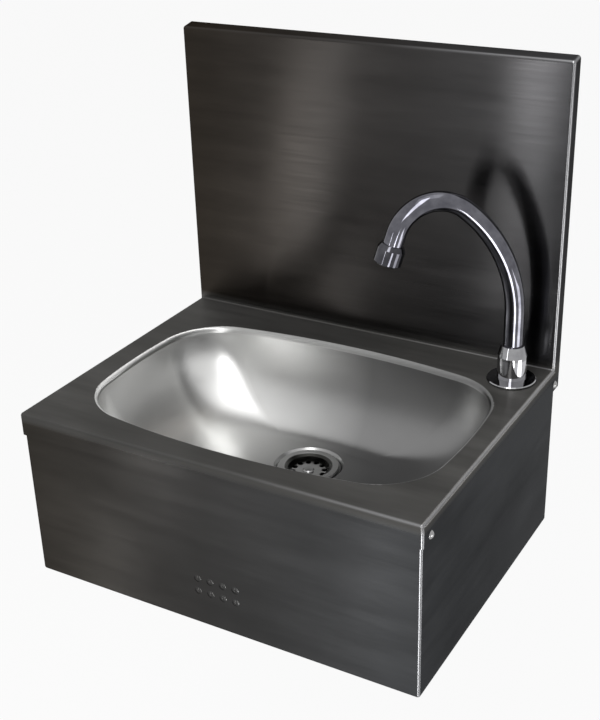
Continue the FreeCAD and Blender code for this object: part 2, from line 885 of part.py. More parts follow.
def valve_bracket():
    """Folded shelf under the bowl: its front upright holds the valve, its rear one is bolted to the plate."""
    body = new_body("valve_bracket", valve_x)
    wall = d.plate_sheet
    level = -d.bracket_level
    base = pad(body, draw_polygon(new_sketch(body, "YZ_Plane"), [
        (bracket_front, level - wall),
        (bracket_front, level - wall + d.bracket_front_rise),
        (valve_face, level - wall + d.bracket_front_rise),
        (valve_face, level),
        (-2 * wall, level),
        (-2 * wall, level - wall + d.bracket_rear_rise),
        (-wall, level - wall + d.bracket_rear_rise),
        (-wall, level - wall),
    ]), d.bracket_width, midplane=True)

    def is_outer_bend(edge):
        at_ends = lies_at(edge, "Y", bracket_front) or lies_at(edge, "Y", -wall)
        return at_ends and lies_at(edge, "Z", level - wall)

    def is_inner_bend(edge):
        at_ends = lies_at(edge, "Y", valve_face) or lies_at(edge, "Y", -2 * wall)
        return at_ends and lies_at(edge, "Z", level)

    def is_free_corner(edge):
        at_front = lies_at(edge, "Z", level - wall + d.bracket_front_rise)
        at_rear = lies_at(edge, "Z", level - wall + d.bracket_rear_rise)
        return (at_front or at_rear) and near(abs(edge.CenterOfMass.x), d.bracket_width / 2)

    inside = d.bend_radius - d.sheet
    inner = fillet(body, base, edge_names(base, is_inner_bend), inside)
    outer = fillet(body, inner, edge_names(inner, is_outer_bend), inside + wall)
    fillet(body, outer, edge_names(outer, is_free_corner), d.bracket_corner)
    hem_front = bracket_front + d.bracket_hem_inset
    hem_back = -wall - d.bracket_hem_inset
    hem = pad(body, draw_rectangle(new_sketch(body, "YZ_Plane", d.bracket_width / 2 - wall),
                                   hem_front, hem_back, level - wall - d.bracket_hem, level - wall), wall)
    mirror(body, [hem])
    valve_hole = new_sketch(body, "XZ_Plane", -(bracket_front + wall / 2))
    pocket(body, draw_circle(valve_hole, 0, valve_z, d.valve_nose_radius + d.valve_nose_play), wall * 3)
    waste_hole = new_sketch(body, "XY_Plane", level - wall / 2)
    pocket(body, draw_circle(waste_hole, 0, waste_y, d.bracket_waste_hole), wall * 3)
    stud_holes = new_sketch(body, "XZ_Plane", wall * 1.5)
    for side in (-1, 1):
        draw_circle(stud_holes, side * d.bolt_span / 2, -d.bolt_level, d.bolt_radius + d.bolt_play)
    pocket(body, stud_holes, wall * 3)
    return body


def bracket_fasteners():
    """Weld studs on the plate, and the nuts that hold the bracket on them."""
    left = valve_x - d.bolt_span / 2
    studs = new_body("bracket_studs", left, 0, -d.bolt_level, "forward")
    start = d.plate_sheet
    shank = revolve(studs, draw_polygon(new_sketch(studs, "XZ_Plane"), [
        (0, start),
        (d.bolt_radius, start),
        (d.bolt_radius, start + d.bolt_length - d.bolt_point),
        (d.bolt_radius - d.bolt_point, start + d.bolt_length),
        (0, start + d.bolt_length),
    ]))
    row(studs, [shank], "X_Axis", d.bolt_span, 2)
    nuts = new_body("bracket_nuts", left, 0, -d.bolt_level, "forward")
    features = add_nut(nuts, d.bolt_flats, d.bolt_radius + d.thread_play,
                       2 * start, 2 * start + d.bolt_nut_height)
    row(nuts, features, "X_Axis", d.bolt_span, 2)


def knee_cover():
    """Front and both sides in one folded sheet, which slides towards the wall when the knee presses it."""
    body = new_body("knee_cover", valve_x)
    middle = -valve_x
    blank = pad(body, draw_rectangle(new_sketch(body, "XY_Plane", -d.cover_bottom),
                                     middle - cover_outside, middle + cover_outside,
                                     cover_front, -d.cover_rear_gap), d.cover_bottom - d.cover_top)

    def is_open(face):
        return lies_at(face, "Z", -d.cover_top) or lies_at(face, "Y", -d.cover_rear_gap)

    folded = shell(body, blank, face_names(blank, is_open), d.cover_sheet)

    def folds_at(edge, side, front, foot):
        """True where the edge lies in two of the three planes that meet at a corner."""
        at_side = near(abs(edge.CenterOfMass.x + float(valve_x)), side)
        return at_side + lies_at(edge, "Y", front) + lies_at(edge, "Z", foot) == 2

    def is_outer(edge):
        return folds_at(edge, cover_outside, cover_front, -d.cover_bottom)

    def is_inner(edge):
        return folds_at(edge, cover_inside, cover_back, d.cover_sheet - d.cover_bottom)

    inside = d.bend_radius - d.cover_sheet
    inner = fillet(body, folded, edge_names(folded, is_inner), inside)
    fillet(body, inner, edge_names(inner, is_outer), d.bend_radius)
    inner_left = middle - cover_inside + d.cover_return
    inner_right = middle + cover_inside - d.cover_return
    underside = new_sketch(body, "XY_Plane", -d.cover_bottom)
    draw_rectangle(underside, inner_left, inner_right, cover_back + d.cover_return, d.cover_return)
    pocket(body, underside, d.cover_sheet * 4)
    cut_guide_slots(body)
    press_pips(body)
    return body


def cut_guide_slots(body):
    """Level slots for the guide bushes; the rear pair is open, so that the cover lifts off forwards."""
    slots = new_sketch(body, "YZ_Plane")
    half_height = d.bush_radius + d.slot_play
    length = d.cover_travel + 2 * half_height
    middle = guide_y - d.cover_travel / 2
    draw_slot(slots, middle, -d.guide_drop, half_height, length)
    front = -d.guide_rear_setback - d.cover_travel - half_height
    low = -d.guide_drop - half_height
    draw_rectangle(slots, front, d.cover_rear_gap, low, low + 2 * half_height)
    pocket(body, slots, d.sink_width * 1.1)


def press_pips(body):
    """A block of small round pips pressed outwards in the sheet, where the knee goes."""
    first_x = d.pip_pitch * (d.pip_columns - 1) / -2
    first_z = valve_z - d.pip_pitch * (d.pip_rows - 1) / 2
    pip = new_sketch(body, "YZ_Plane", first_x, 0, first_z)
    draw_cap(pip, cover_front, d.pip_radius, d.pip_height)
    dome = revolve(body, pip, "H_Axis")
    dent = new_sketch(body, "YZ_Plane", first_x, 0, first_z)
    draw_cap(dent, cover_back, d.pip_radius, d.pip_height)
    hollow = groove(body, dent, "H_Axis")
    columns = row_of(body, "X_Axis", d.pip_pitch, d.pip_columns)
    rows = row_of(body, "Z_Axis", d.pip_pitch, d.pip_rows)
    grid(body, [dome, hollow], columns, rows)


def draw_cap(item, base, radius, height):
    """Half of a round cap's outline on the sketch's level axis, domed towards smaller values."""
    curve = (radius * radius + height * height) / (2 * height)
    top = base - height
    centre = top + curve
    half_turn = math.asin(float(radius) / float(curve))
    flat = Part.LineSegment(Vector(float(base), 0, 0), Vector(float(base), float(radius), 0))
    circle = Part.Circle(Vector(float(centre), 0, 0), Vector(0, 0, 1), float(curve))
    axis = Part.LineSegment(Vector(float(top), 0, 0), Vector(float(base), 0, 0))
    first = item.addGeometry(flat, False)
    arc = item.addGeometry(Part.ArcOfCircle(circle, math.pi - half_turn, math.pi), False)
    last = item.addGeometry(axis, False)
    item.addConstraint(Sketcher.Constraint("Coincident", first, 2, arc, 1))
    item.addConstraint(Sketcher.Constraint("Coincident", arc, 2, last, 1))
    item.addConstraint(Sketcher.Constraint("Coincident", last, 2, first, 1))
    hold(item, "DistanceX", first, 1, base)
    hold(item, "DistanceY", first, 1, 0)
    hold(item, "DistanceX", first, 2, base)
    hold(item, "DistanceY", first, 2, radius)
    hold(item, "DistanceY", arc, 3, 0)
    hold(item, "DistanceX", last, 1, top)
    hold(item, "DistanceY", last, 1, 0)
    return item


def push_channel():
    """Hat-section stiffener welded inside the front, and the pad on it that presses the valve's button."""
    body = new_body("push_channel", valve_x, 0, valve_z)
    wall = d.cover_sheet
    half_web = d.channel_web / 2
    half_all = half_web + d.channel_foot
    hat = pad(body, draw_polygon(new_sketch(body, "YZ_Plane"), [
        (cover_back, -half_all),
        (cover_back, -half_web + wall),
        (channel_face - wall, -half_web + wall),
        (channel_face - wall, half_web - wall),
        (cover_back, half_web - wall),
        (cover_back, half_all),
        (cover_back + wall, half_all),
        (cover_back + wall, half_web),
        (channel_face, half_web),
        (channel_face, -half_web),
        (cover_back + wall, -half_web),
        (cover_back + wall, -half_all),
    ]), d.channel_length, midplane=True)

    def is_web_bend(edge):
        return lies_at(edge, "Y", channel_face) and near(abs(edge.CenterOfMass.z), half_web)

    fillet(body, hat, edge_names(hat, is_web_bend), d.bend_radius - wall)
    head = turned("push_pad", [
        (0, -pad_face),
        (d.pad_radius - d.bolt_point, -pad_face),
        (d.pad_radius, -pad_face + d.bolt_point),
        (d.pad_radius, -channel_face),
        (0, -channel_face),
    ], valve_x, 0, valve_z, "forward")
    return body, head


def guide_set():
    """Screws, bushes, washers and nuts that carry the cover in the deck's side lips."""
    front = (0, guide_y, -d.guide_drop)
    pitch = -guide_y - d.guide_rear_setback
    face = d.sink_width / 2
    slide = d.cover_gap + d.cover_sheet + d.slot_play
    washer_face = lip_inside - slide
    nut_face = washer_face - d.guide_washer_thickness
    nut_back = nut_face - d.guide_nut_height
    shank_end = nut_back - d.screw_play * 4

    screws = new_body("cover_screws", *front)
    head = draw_screw_head(new_sketch(screws, "XY_Plane"), face, d.screw_head_radius, d.screw_head_height)
    domed = revolve(screws, head, "H_Axis")
    shank = revolve(screws, draw_rectangle(new_sketch(screws, "XY_Plane"),
                                           shank_end, face, 0, d.screw_radius), "H_Axis")
    four_of(screws, [domed, shank], pitch)
    sleeve = d.screw_radius + d.screw_play
    for label, inner, outer, near_end, far_end in (
        ("cover_bushes", sleeve, d.bush_radius, washer_face, lip_inside),
        ("cover_washers", sleeve, d.guide_washer_radius, nut_face, washer_face),
    ):
        piece = new_body(label, *front)
        outline = draw_rectangle(new_sketch(piece, "XY_Plane"), near_end, far_end, inner, outer)
        four_of(piece, [revolve(piece, outline, "H_Axis")], pitch)
    nuts = new_body("cover_nuts", *front)
    blank = draw_hexagon(new_sketch(nuts, "YZ_Plane", nut_back), d.guide_nut_flats)
    body_of_nut = pad(nuts, blank, d.guide_nut_height)
    hole = draw_circle(new_sketch(nuts, "YZ_Plane", nut_back), 0, 0, d.screw_radius + d.thread_play)
    bore = pocket(nuts, hole, d.guide_nut_height * 3)
    four_of(nuts, [body_of_nut, bore], pitch)


def four_of(body, features, pitch):
    grid(body, features, row_of(body, "Y_Axis", pitch, 2), mirror_step(body))


def draw_screw_head(item, face, radius, height):
    """Half of a domed head's outline on the sketch's level axis, domed towards larger values."""
    curve = (radius * radius + height * height) / (2 * height)
    top = face + height
    centre = top - curve
    half_turn = math.asin(float(radius) / float(curve))
    circle = Part.Circle(Vector(float(centre), 0, 0), Vector(0, 0, 1), float(curve))
    flat = Part.LineSegment(Vector(float(face), float(radius), 0), Vector(float(face), 0, 0))
    axis = Part.LineSegment(Vector(float(face), 0, 0), Vector(float(top), 0, 0))
    arc = item.addGeometry(Part.ArcOfCircle(circle, 0, half_turn), False)
    first = item.addGeometry(flat, False)
    last = item.addGeometry(axis, False)
    item.addConstraint(Sketcher.Constraint("Coincident", arc, 2, first, 1))
    item.addConstraint(Sketcher.Constraint("Coincident", first, 2, last, 1))
    item.addConstraint(Sketcher.Constraint("Coincident", last, 2, arc, 1))
    hold(item, "DistanceX", first, 1, face)
    hold(item, "DistanceY", first, 1, radius)
    hold(item, "DistanceX", first, 2, face)
    hold(item, "DistanceY", first, 2, 0)
    hold(item, "DistanceX", last, 2, top)
    hold(item, "DistanceY", last, 2, 0)
    hold(item, "DistanceY", arc, 3, 0)
    return item


def valve():
    """Self-closing valve on the bracket; its own Z axis points forward, so heights are setbacks."""
    place = (valve_x, 0, valve_z, "forward")
    face = -valve_face
    front = -bracket_front
    nose = front + d.valve_nose_length
    back = face - d.valve_length
    chamber_front = nose - d.valve_guide_length
    chamber_back = back + d.valve_wall
    body = new_body("valve_body", *place)
    revolve(body, draw_polygon(new_sketch(body, "XZ_Plane"), [
        (0, back),
        (d.valve_radius - d.valve_edge, back),
        (d.valve_radius, back + d.valve_edge),
        (d.valve_radius, face - d.valve_collar_thickness),
        (d.valve_collar_radius, face - d.valve_collar_thickness),
        (d.valve_collar_radius, face),
        (d.valve_nose_radius, face),
        (d.valve_nose_radius, nose),
        (d.valve_guide_radius, nose),
        (d.valve_guide_radius, chamber_front),
        (d.valve_chamber_radius, chamber_front),
        (d.valve_chamber_radius, chamber_back),
        (0, chamber_back),
    ]))
    # water comes in on the left and leaves on the right
    ports = new_sketch(body, "YZ_Plane", d.valve_chamber_radius + d.valve_edge)
    draw_circle(ports, 0, -port_y, d.port_radius)
    right = pad(body, ports, d.port_reach - d.valve_chamber_radius - d.valve_edge)
    mirror(body, [right])
    bores = new_sketch(body, "YZ_Plane")
    draw_circle(bores, 0, -port_y, d.port_bore_radius)
    pocket(body, bores, d.port_reach * 2.2)

    nut("valve_ring_nut", d.ring_nut_flats, d.valve_nose_radius + d.thread_play,
        front, front + d.ring_nut_height, *place)

    button = -pad_face - d.rest_gap
    collar_front = chamber_front - d.rest_gap
    collar_back = collar_front - d.plunger_collar_thickness
    turned("valve_plunger", [
        (0, button),
        (d.plunger_radius - d.bolt_point, button),
        (d.plunger_radius, button - d.bolt_point),
        (d.plunger_radius, collar_front),
        (d.plunger_collar_radius, collar_front),
        (d.plunger_collar_radius, collar_back),
        (d.plunger_stem_radius, collar_back),
        (d.plunger_stem_radius, collar_back - d.plunger_stem_length),
        (0, collar_back - d.plunger_stem_length),
    ], *place)
    return_spring(collar_back, chamber_back)


def return_spring(front, back):
    """Helical spring between the plunger's collar and the end of the chamber."""
    wire = float(d.spring_wire_radius)
    gap = float(d.rest_gap)
    low, high = float(back) + gap + wire, float(front) - gap - wire
    pitch = (high - low) / float(d.spring_turns)
    helix = Part.makeHelix(pitch, high - low, float(d.spring_radius))
    start = Part.Circle(Vector(float(d.spring_radius), 0, 0), Vector(0, 1, 0), wire)
    section = Part.Wire([start.toShape()])
    coil = Part.Wire(helix).makePipeShell([section], True, True)
    item = doc.addObject("Part::Feature", "return_spring")
    item.Label = "return_spring"
    item.Shape = coil
    base = Vector(float(valve_x), 0, float(d.deck_level + valve_z))
    forward = FreeCAD.Placement(base, TURNS["forward"])
    item.Placement = forward * FreeCAD.Placement(Vector(0, 0, low), FreeCAD.Rotation())


def mixing_block():
    """Mixing block with its two inlets; its own Z axis points left, away from the valve."""
    place = (valve_x, port_y, valve_z, "left")
    start = d.port_reach
    neck = start + d.mixing_neck
    end = neck + d.mixing_length
    first = d.inlet_first
    second = first + d.inlet_pitch
    body = new_body("mixing_block", *place)
    revolve(body, draw_polygon(new_sketch(body, "XZ_Plane"), [
        (d.port_bore_radius, start),
        (d.port_radius, start),
        (d.port_radius, neck),
        (d.mixing_radius - d.valve_edge, neck),
        (d.mixing_radius, neck + d.valve_edge),
        (d.mixing_radius, end - d.valve_edge),
        (d.mixing_radius - d.valve_edge, end),
        (d.spindle_radius + d.thread_play, end),
        (d.spindle_radius + d.thread_play, end - d.spindle_length / 2),
        (d.port_bore_radius, end - d.spindle_length / 2),
    ]))
    # the body's own X axis points down here, so the inlets leave along it
    inlets = new_sketch(body, "YZ_Plane", d.mixing_bore_radius + d.valve_edge)
    draw_circle(inlets, 0, first, d.port_radius)
    draw_circle(inlets, 0, second, d.port_radius)
    pad(body, inlets, d.inlet_drop - d.mixing_bore_radius - d.valve_edge)
    bores = new_sketch(body, "YZ_Plane", d.inlet_drop)
    draw_circle(bores, 0, first, d.port_bore_radius)
    draw_circle(bores, 0, second, d.port_bore_radius)
    pocket(body, bores, d.inlet_drop * 2)

    union_start = start - d.union_overlap
    nut("union_nut", d.union_flats, d.port_radius + d.thread_play,
        union_start, union_start + d.union_length, *place)
    slot_floor = end + d.spindle_length / 2 - d.spindle_slot_depth
    spindle = turned("mixing_spindle", [
        (0, end - d.spindle_length / 2 + d.rest_gap),
        (d.spindle_radius, end - d.spindle_length / 2 + d.rest_gap),
        (d.spindle_radius, end + d.spindle_length / 2),
        (0, end + d.spindle_length / 2),
    ], *place)
    slot = new_sketch(spindle, "YZ_Plane")
    half = d.spindle_slot_width / 2
    draw_rectangle(slot, -half, half, slot_floor, end + d.spindle_length)
    pocket(spindle, slot, d.spindle_radius * 3)

    for label, along in (("inlet_cold", first), ("inlet_hot", second)):
        top = -d.inlet_drop
        hex_foot = top - d.check_hex_height
        inlet = new_body(label, valve_x - along, port_y, valve_z)
        add_nut(inlet, d.check_flats, d.check_bore_radius, hex_foot, top)
        thread = new_sketch(inlet, "XY_Plane", hex_foot - d.check_thread_length)
        draw_circle(thread, 0, 0, d.check_thread_radius)
        draw_circle(thread, 0, 0, d.check_bore_radius)
        pad(inlet, thread, d.check_thread_length)


def outlet_pipe():
    """Bent pipe from the valve's right port, back along the side and up to the tap, with nuts and olives."""
    port = d.port_reach
    right = (valve_x, port_y, valve_z, "right")
    bore = d.port_radius + d.thread_play
    compression_nut("pipe_nut_valve", bore, port - d.pipe_nut_overlap, 1, *right)
    ring("pipe_olive_valve", d.pipe_radius, d.olive_radius, port, port + d.olive_length, *right)
    shank_foot = -d.tap_shank_length
    above = (tap_x, tap_y, 0)
    shank_bore = d.tap_shank_radius + d.thread_play
    compression_nut("pipe_nut_tap", shank_bore, shank_foot + d.pipe_nut_overlap, -1, *above)
    ring("pipe_olive_tap", d.pipe_radius, d.olive_radius, shank_foot - d.olive_length, shank_foot, *above)

    level = float(d.deck_level + valve_z)
    front_y, back_y = float(port_y), float(tap_y)
    left_x, right_x = float(valve_x + port), float(tap_x)
    front_bend, rear_bend = float(d.pipe_bend_front), float(d.pipe_bend_rear)
    top = float(d.deck_level + shank_foot)
    diagonal = math.sqrt(0.5)
    side_centre = Vector(right_x - front_bend, front_y + front_bend, level)
    side_middle = side_centre + Vector(diagonal, -diagonal, 0) * front_bend
    rise_centre = Vector(right_x, back_y - rear_bend, level + rear_bend)
    rise_middle = rise_centre + Vector(0, diagonal, -diagonal) * rear_bend
    points = [
        Vector(left_x, front_y, level),
        Vector(right_x - front_bend, front_y, level),
        Vector(right_x, front_y + front_bend, level),
        Vector(right_x, back_y - rear_bend, level),
        Vector(right_x, back_y, level + rear_bend),
        Vector(right_x, back_y, top),
    ]
    edges = [
        Part.LineSegment(points[0], points[1]).toShape(),
        Part.Arc(points[1], side_middle, points[2]).toShape(),
        Part.LineSegment(points[2], points[3]).toShape(),
        Part.Arc(points[3], rise_middle, points[4]).toShape(),
        Part.LineSegment(points[4], points[5]).toShape(),
    ]
    path = Part.Wire(edges)
    tubes = []
    for radius in (d.pipe_radius, d.pipe_radius - d.pipe_wall):
        circle = Part.Circle(points[0], Vector(1, 0, 0), float(radius))
        tubes.append(path.makePipeShell([Part.Wire([circle.toShape()])], True, False))
    item = doc.addObject("Part::Feature", "outlet_pipe")
    item.Label = "outlet_pipe"
    item.Shape = tubes[0].cut(tubes[1])


def compression_nut(label, bore, mouth, inwards, *place):
    """A nut whose wide bore goes over a thread and whose far end closes on an olive round the pipe.

    mouth is the height of the open end, and inwards is 1 where the nut stands above it, otherwise -1.
    """
    shoulder = mouth + inwards * (d.pipe_nut_overlap + d.olive_length)
    far = mouth + inwards * d.pipe_nut_length
    low, high = (mouth, far) if inwards > 0 else (far, mouth)
    body = nut(label, d.pipe_nut_flats, d.pipe_radius + d.thread_play, low, high, *place)
    wide = draw_circle(new_sketch(body, "XY_Plane", mouth), 0, 0, bore)
    pocket(body, wide, (shoulder - mouth) * (2 * inwards))


def tap():
    """Tap foot on the deck, with its shank and back nut under it and the swivel nut that holds the spout."""
    place = (tap_x, tap_y, 0)
    gasket = d.tap_gasket_thickness
    gasket_bore = d.tap_shank_radius + d.screw_play
    ring("tap_gasket", gasket_bore, d.tap_flange_radius - d.bolt_point, 0, gasket, *place)
    rim = gasket + d.tap_flange_thickness
    turned("tap_flange", [
        (d.tap_body_radius + d.thread_play, gasket),
        (d.tap_flange_radius, gasket),
        (d.tap_flange_radius, gasket + d.tap_flange_edge),
        (d.tap_flange_radius - d.tap_flange_edge, gasket + d.tap_flange_edge * 2),
        (d.tap_body_radius + d.tap_flange_edge, rim),
        (d.tap_body_radius + d.thread_play, rim),
    ], *place)
    spigot = d.tap_body_top - d.swivel_spigot_depth
    turned("tap_body", [
        (d.tap_shank_bore, gasket),
        (d.tap_body_radius, gasket),
        (d.tap_body_radius, d.tap_body_top),
        (d.swivel_spigot_radius + d.thread_play, d.tap_body_top),
        (d.swivel_spigot_radius + d.thread_play, spigot),
        (d.swivel_bore_radius, spigot),
        (d.swivel_bore_radius, d.tap_floor),
        (d.tap_shank_bore, d.tap_floor),
    ], *place)
    turned("tap_shank", [
        (d.tap_shank_bore, -d.tap_shank_length),
        (d.tap_shank_radius - d.bolt_point, -d.tap_shank_length),
        (d.tap_shank_radius, d.bolt_point - d.tap_shank_length),
        (d.tap_shank_radius, gasket),
        (d.tap_shank_bore, gasket),
    ], *place)
    under = -d.sheet
    middle = under - d.tap_washer_thickness
    lower = middle - d.tap_washer_thickness
    clear = d.tap_shank_radius + d.bolt_play
    ring("tap_under_seal", clear, d.tap_washer_radius, middle, under, *place)
    ring("tap_washer", clear, d.tap_washer_radius, lower, middle, *place)
    nut("tap_back_nut", d.tap_nut_flats, d.tap_shank_radius + d.thread_play,
        lower - d.tap_nut_height, lower, *place)
    tube_bore = d.spout_radius + d.swivel_play
    turned("swivel_nut", [
        (d.swivel_bore_radius + d.swivel_play, spigot),
        (d.swivel_spigot_radius, spigot),
        (d.swivel_spigot_radius, d.tap_body_top),
        (d.tap_body_radius, d.tap_body_top),
        (d.tap_body_radius, d.tap_body_top + d.swivel_nut_rim),
        (d.swivel_nut_top_radius, d.tap_body_top + d.swivel_nut_height),
        (tube_bore, d.tap_body_top + d.swivel_nut_height),
        (tube_bore, d.tap_body_top + d.rest_gap),
        (d.swivel_bore_radius + d.swivel_play, d.tap_body_top + d.rest_gap),
    ], *place)


def spout():
    """Swivelling swan-neck spout; its own X axis points the way the spout leans."""
    body = new_body("spout_tube", tap_x, tap_y)
    aim(body)
    low = foot_low
    path = new_sketch(body, "XZ_Plane")
    first_turn, second_turn = math.radians(d.spout_first_turn), math.radians(d.spout_second_turn)
    rise = Vector(0, float(d.spout_rise), 0)
    centre_one = rise + Vector(float(d.spout_first_radius), 0, 0)
    outwards = Vector(-math.cos(first_turn), math.sin(first_turn), 0)
    change = centre_one + outwards * float(d.spout_first_radius)
    centre_two = change - outwards * float(d.spout_second_radius)
    total = first_turn + second_turn
    end = centre_two + Vector(-math.cos(total), math.sin(total), 0) * float(d.spout_second_radius)
    tail = end + Vector(math.sin(total), math.cos(total), 0) * float(d.spout_tail)
    normal = Vector(0, 0, 1)
    circle_one = Part.Circle(centre_one, normal, float(d.spout_first_radius))
    circle_two = Part.Circle(centre_two, normal, float(d.spout_second_radius))
    riser = path.addGeometry(Part.LineSegment(Vector(0, float(low), 0), rise), False)
    arc_one = path.addGeometry(Part.ArcOfCircle(circle_one, math.pi - first_turn, math.pi), False)
    arc_two = path.addGeometry(Part.ArcOfCircle(circle_two, math.pi - total, math.pi - first_turn), False)
    drop = path.addGeometry(Part.LineSegment(end, tail), False)
    path.addConstraint(Sketcher.Constraint("Tangent", riser, 2, arc_one, 2))
    path.addConstraint(Sketcher.Constraint("Tangent", arc_one, 1, arc_two, 2))
    path.addConstraint(Sketcher.Constraint("Tangent", arc_two, 1, drop, 1))
    hold(path, "DistanceX", riser, 1, 0)
    hold(path, "DistanceY", riser, 1, low)
    hold(path, "DistanceX", riser, 2, 0)
    hold(path, "DistanceY", riser, 2, d.spout_rise)
    hold(path, "Radius", arc_one, d.spout_first_radius)
    hold(path, "Radius", arc_two, d.spout_second_radius)
    hold(path, "Distance", drop, d.spout_tail)
    for arc, turn in ((arc_one, d.spout_first_turn), (arc_two, d.spout_second_turn)):
        index = path.addConstraint(Sketcher.Constraint("Angle", arc, math.radians(turn)))
        path.setExpression(f"Constraints[{index}]", f"{turn.formula} * 1 deg")
    section = new_sketch(body, "XY_Plane", low)
    draw_circle(section, 0, 0, d.spout_radius)
    draw_circle(section, 0, 0, d.spout_radius - d.spout_wall)
    tube = body.newObject("PartDesign::AdditivePipe", "Pipe")
    tube.Profile = section
    tube.Spine = (path, [])
    finish(body, tube)

    foot = new_body("spout_foot", tap_x, tap_y)
    aim(foot)
    top = low + d.foot_height
    wire = d.ring_wire_radius
    revolve(foot, draw_polygon(new_sketch(foot, "XZ_Plane"), [
        (d.spout_radius, low),
        (d.foot_radius, low),
        (d.foot_radius, top),
        (d.spout_radius, top),
    ]))
    grooves = new_sketch(foot, "XZ_Plane")
    rings = new_body("spout_rings", tap_x, tap_y)
    aim(rings)
    loops = new_sketch(rings, "XZ_Plane")
    for height in (low + d.ring_inset, top - d.ring_inset):
        draw_rectangle(grooves, d.foot_radius - 2 * wire, d.foot_radius + wire,
                       height - d.ring_groove_half, height + d.ring_groove_half)
        draw_circle(loops, d.foot_radius - wire, height, wire)
    groove(foot, grooves)
    revolve(rings, loops)
    return tail, math.degrees(total)


def aim(body):
    """Turn a body of the spout to its heading at rest."""
    heading = FreeCAD.Rotation(Vector(0, 0, 1), float(d.spout_heading))
    body.Placement = FreeCAD.Placement(body.Placement.Base, heading)
    body.setExpression("Placement.Rotation.Angle", f"{d.spout_heading.formula} * 1 deg")


def aerator(tail, lean):
    """Aerator on the spout's end; its own Z axis points the way the water goes."""
    heading = FreeCAD.Rotation(Vector(0, 0, 1), float(d.spout_heading))
    foot = FreeCAD.Placement(Vector(float(tap_x), float(tap_y), float(d.deck_level)), heading)
    tilt = FreeCAD.Rotation(Vector(0, 1, 0), lean)
    end = foot * FreeCAD.Placement(Vector(tail.x, 0, tail.y), tilt)
    top = -d.aerator_overlap
    foot_level = d.aerator_length - d.aerator_overlap
    chamber = d.aerator_radius - d.aerator_lip
    seal_top = d.rest_gap
    insert_top = seal_top + d.aerator_seal_thickness
    insert_foot = insert_top + d.insert_thickness
    housing = turned("aerator_housing", [
        (d.spout_radius, top),
        (d.spout_radius + d.aerator_lip, top),
        (d.aerator_radius, top + d.aerator_shoulder),
        (d.aerator_radius, foot_level - d.bolt_point),
        (d.aerator_radius - d.bolt_point, foot_level),
        (chamber - d.aerator_lip, foot_level),
        (chamber - d.aerator_lip, insert_foot),
        (chamber, insert_foot),
        (chamber, 0),
        (d.spout_radius, 0),
    ])
    seal = turned("aerator_seal", [
        (d.spout_radius - d.spout_wall, seal_top),
        (chamber - d.insert_play, seal_top),
        (chamber - d.insert_play, insert_top),
        (d.spout_radius - d.spout_wall, insert_top),
    ])
    insert = turned("aerator_insert", [
        (0, insert_top),
        (chamber - d.insert_play, insert_top),
        (chamber - d.insert_play, insert_foot),
        (0, insert_foot),
    ])
    hole = new_sketch(insert, "XY_Plane", insert_top)
    draw_circle(hole, d.insert_ring_radius, 0, d.insert_hole_radius)
    cut = pocket(insert, hole, d.insert_thickness * 3)
    around = insert.newObject("PartDesign::PolarPattern", "Around")
    around.Originals = [cut]
    around.Axis = (own_plane(insert, "Z_Axis"), [""])
    around.Angle = 360
    around.Occurrences = int(float(d.insert_hole_count))
    finish(insert, around)
    for body in (housing, seal, insert):
        for name in ("x", "y", "z"):
            body.setExpression(f"Placement.Base.{name}", None)
        body.Placement = end


